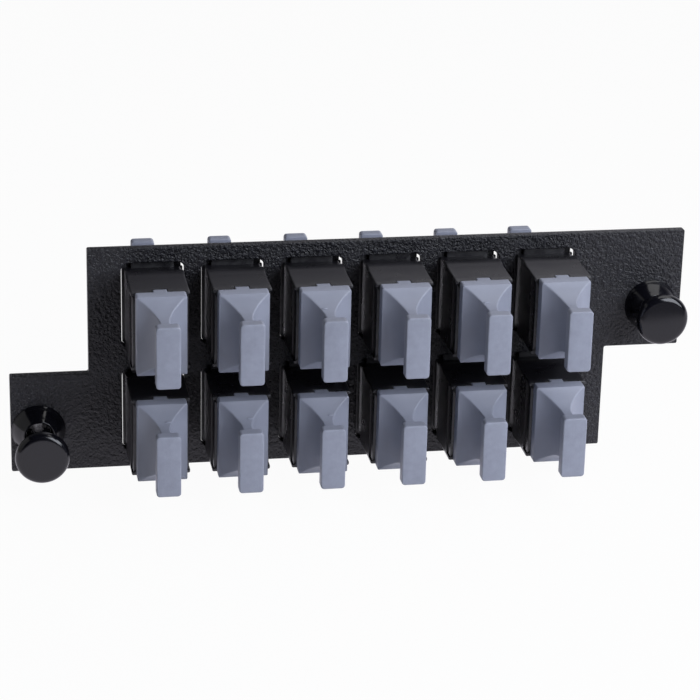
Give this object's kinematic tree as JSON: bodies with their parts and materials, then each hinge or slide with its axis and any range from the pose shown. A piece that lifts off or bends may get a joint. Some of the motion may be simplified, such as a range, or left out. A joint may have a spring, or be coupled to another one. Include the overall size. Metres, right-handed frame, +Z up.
{
  "type": "fibre adapter plate",
  "caption": "Stepped steel plate with two rows of capped duplex fibre adapters and a push-pull latch at each end.",
  "frame": {"origin": "on the left latch's axis at the plate's rear face", "axes": "+X along the plate to the right latch, +Y to the rear along the latches, +Z up; the front faces -Y"},
  "size_m": [0.112, 0.0433, 0.038],
  "materials": {
    "plate_steel": "textured black powder coat",
    "adapter_plastic": "satin black",
    "cap_plastic": "satin grey",
    "latch_nylon": "glossy black",
    "guide_plastic": "satin black",
    "sleeve_ceramic": "polished white"
  },
  "bodies": {
    "carrier": {"plate": "plate_steel", "latch_grommet_left": "latch_nylon", "latch_grommet_right": "latch_nylon", "front_shell_lower_1": "adapter_plastic", "rear_shell_lower_1": "adapter_plastic", "front_shell_lower_2": "adapter_plastic", "rear_shell_lower_2": "adapter_plastic", "front_shell_lower_3": "adapter_plastic", "rear_shell_lower_3": "adapter_plastic", "front_shell_lower_4": "adapter_plastic", "rear_shell_lower_4": "adapter_plastic", "front_shell_lower_5": "adapter_plastic", "rear_shell_lower_5": "adapter_plastic", "front_shell_lower_6": "adapter_plastic", "rear_shell_lower_6": "adapter_plastic", "ferrule_guides_lower": "guide_plastic", "alignment_sleeves_lower": "sleeve_ceramic", "front_shell_upper_1": "adapter_plastic", "rear_shell_upper_1": "adapter_plastic", "front_shell_upper_2": "adapter_plastic", "rear_shell_upper_2": "adapter_plastic", "front_shell_upper_3": "adapter_plastic", "rear_shell_upper_3": "adapter_plastic", "front_shell_upper_4": "adapter_plastic", "rear_shell_upper_4": "adapter_plastic", "front_shell_upper_5": "adapter_plastic", "rear_shell_upper_5": "adapter_plastic", "front_shell_upper_6": "adapter_plastic", "rear_shell_upper_6": "adapter_plastic", "ferrule_guides_upper": "guide_plastic", "alignment_sleeves_upper": "sleeve_ceramic"},
    "plunger_left": {"latch_plunger_left": "latch_nylon"},
    "plunger_right": {"latch_plunger_right": "latch_nylon"},
    "front_cap_lower_1": {"front_cap_lower_1": "cap_plastic"},
    "rear_cap_lower_1": {"rear_cap_lower_1": "cap_plastic"},
    "front_cap_lower_2": {"front_cap_lower_2": "cap_plastic"},
    "rear_cap_lower_2": {"rear_cap_lower_2": "cap_plastic"},
    "front_cap_lower_3": {"front_cap_lower_3": "cap_plastic"},
    "rear_cap_lower_3": {"rear_cap_lower_3": "cap_plastic"},
    "front_cap_lower_4": {"front_cap_lower_4": "cap_plastic"},
    "rear_cap_lower_4": {"rear_cap_lower_4": "cap_plastic"},
    "front_cap_lower_5": {"front_cap_lower_5": "cap_plastic"},
    "rear_cap_lower_5": {"rear_cap_lower_5": "cap_plastic"},
    "front_cap_lower_6": {"front_cap_lower_6": "cap_plastic"},
    "rear_cap_lower_6": {"rear_cap_lower_6": "cap_plastic"},
    "front_cap_upper_1": {"front_cap_upper_1": "cap_plastic"},
    "rear_cap_upper_1": {"rear_cap_upper_1": "cap_plastic"},
    "front_cap_upper_2": {"front_cap_upper_2": "cap_plastic"},
    "rear_cap_upper_2": {"rear_cap_upper_2": "cap_plastic"},
    "front_cap_upper_3": {"front_cap_upper_3": "cap_plastic"},
    "rear_cap_upper_3": {"rear_cap_upper_3": "cap_plastic"},
    "front_cap_upper_4": {"front_cap_upper_4": "cap_plastic"},
    "rear_cap_upper_4": {"rear_cap_upper_4": "cap_plastic"},
    "front_cap_upper_5": {"front_cap_upper_5": "cap_plastic"},
    "rear_cap_upper_5": {"rear_cap_upper_5": "cap_plastic"},
    "front_cap_upper_6": {"front_cap_upper_6": "cap_plastic"},
    "rear_cap_upper_6": {"rear_cap_upper_6": "cap_plastic"}
  },
  "joints": [
    {"name": "latch_left_push", "type": "slide", "parent": "carrier", "child": "plunger_left", "axis": [0, 1, 0], "range_m": [0, 0.0042]},
    {"name": "latch_right_pull", "type": "slide", "parent": "carrier", "child": "plunger_right", "axis": [0, -1, 0], "range_m": [0, 0.0042]},
    {"name": "front_cap_lower_1_pull", "type": "slide", "parent": "carrier", "child": "front_cap_lower_1", "axis": [0, -1, 0], "range_m": [0, 0.01]},
    {"name": "rear_cap_lower_1_pull", "type": "slide", "parent": "carrier", "child": "rear_cap_lower_1", "axis": [0, 1, 0], "range_m": [0, 0.01]},
    {"name": "front_cap_lower_2_pull", "type": "slide", "parent": "carrier", "child": "front_cap_lower_2", "axis": [0, -1, 0], "range_m": [0, 0.01]},
    {"name": "rear_cap_lower_2_pull", "type": "slide", "parent": "carrier", "child": "rear_cap_lower_2", "axis": [0, 1, 0], "range_m": [0, 0.01]},
    {"name": "front_cap_lower_3_pull", "type": "slide", "parent": "carrier", "child": "front_cap_lower_3", "axis": [0, -1, 0], "range_m": [0, 0.01]},
    {"name": "rear_cap_lower_3_pull", "type": "slide", "parent": "carrier", "child": "rear_cap_lower_3", "axis": [0, 1, 0], "range_m": [0, 0.01]},
    {"name": "front_cap_lower_4_pull", "type": "slide", "parent": "carrier", "child": "front_cap_lower_4", "axis": [0, -1, 0], "range_m": [0, 0.01]},
    {"name": "rear_cap_lower_4_pull", "type": "slide", "parent": "carrier", "child": "rear_cap_lower_4", "axis": [0, 1, 0], "range_m": [0, 0.01]},
    {"name": "front_cap_lower_5_pull", "type": "slide", "parent": "carrier", "child": "front_cap_lower_5", "axis": [0, -1, 0], "range_m": [0, 0.01]},
    {"name": "rear_cap_lower_5_pull", "type": "slide", "parent": "carrier", "child": "rear_cap_lower_5", "axis": [0, 1, 0], "range_m": [0, 0.01]},
    {"name": "front_cap_lower_6_pull", "type": "slide", "parent": "carrier", "child": "front_cap_lower_6", "axis": [0, -1, 0], "range_m": [0, 0.01]},
    {"name": "rear_cap_lower_6_pull", "type": "slide", "parent": "carrier", "child": "rear_cap_lower_6", "axis": [0, 1, 0], "range_m": [0, 0.01]},
    {"name": "front_cap_upper_1_pull", "type": "slide", "parent": "carrier", "child": "front_cap_upper_1", "axis": [0, -1, 0], "range_m": [0, 0.01]},
    {"name": "rear_cap_upper_1_pull", "type": "slide", "parent": "carrier", "child": "rear_cap_upper_1", "axis": [0, 1, 0], "range_m": [0, 0.01]},
    {"name": "front_cap_upper_2_pull", "type": "slide", "parent": "carrier", "child": "front_cap_upper_2", "axis": [0, -1, 0], "range_m": [0, 0.01]},
    {"name": "rear_cap_upper_2_pull", "type": "slide", "parent": "carrier", "child": "rear_cap_upper_2", "axis": [0, 1, 0], "range_m": [0, 0.01]},
    {"name": "front_cap_upper_3_pull", "type": "slide", "parent": "carrier", "child": "front_cap_upper_3", "axis": [0, -1, 0], "range_m": [0, 0.01]},
    {"name": "rear_cap_upper_3_pull", "type": "slide", "parent": "carrier", "child": "rear_cap_upper_3", "axis": [0, 1, 0], "range_m": [0, 0.01]},
    {"name": "front_cap_upper_4_pull", "type": "slide", "parent": "carrier", "child": "front_cap_upper_4", "axis": [0, -1, 0], "range_m": [0, 0.01]},
    {"name": "rear_cap_upper_4_pull", "type": "slide", "parent": "carrier", "child": "rear_cap_upper_4", "axis": [0, 1, 0], "range_m": [0, 0.01]},
    {"name": "front_cap_upper_5_pull", "type": "slide", "parent": "carrier", "child": "front_cap_upper_5", "axis": [0, -1, 0], "range_m": [0, 0.01]},
    {"name": "rear_cap_upper_5_pull", "type": "slide", "parent": "carrier", "child": "rear_cap_upper_5", "axis": [0, 1, 0], "range_m": [0, 0.01]},
    {"name": "front_cap_upper_6_pull", "type": "slide", "parent": "carrier", "child": "front_cap_upper_6", "axis": [0, -1, 0], "range_m": [0, 0.01]},
    {"name": "rear_cap_upper_6_pull", "type": "slide", "parent": "carrier", "child": "rear_cap_upper_6", "axis": [0, 1, 0], "range_m": [0, 0.01]}
  ]
}
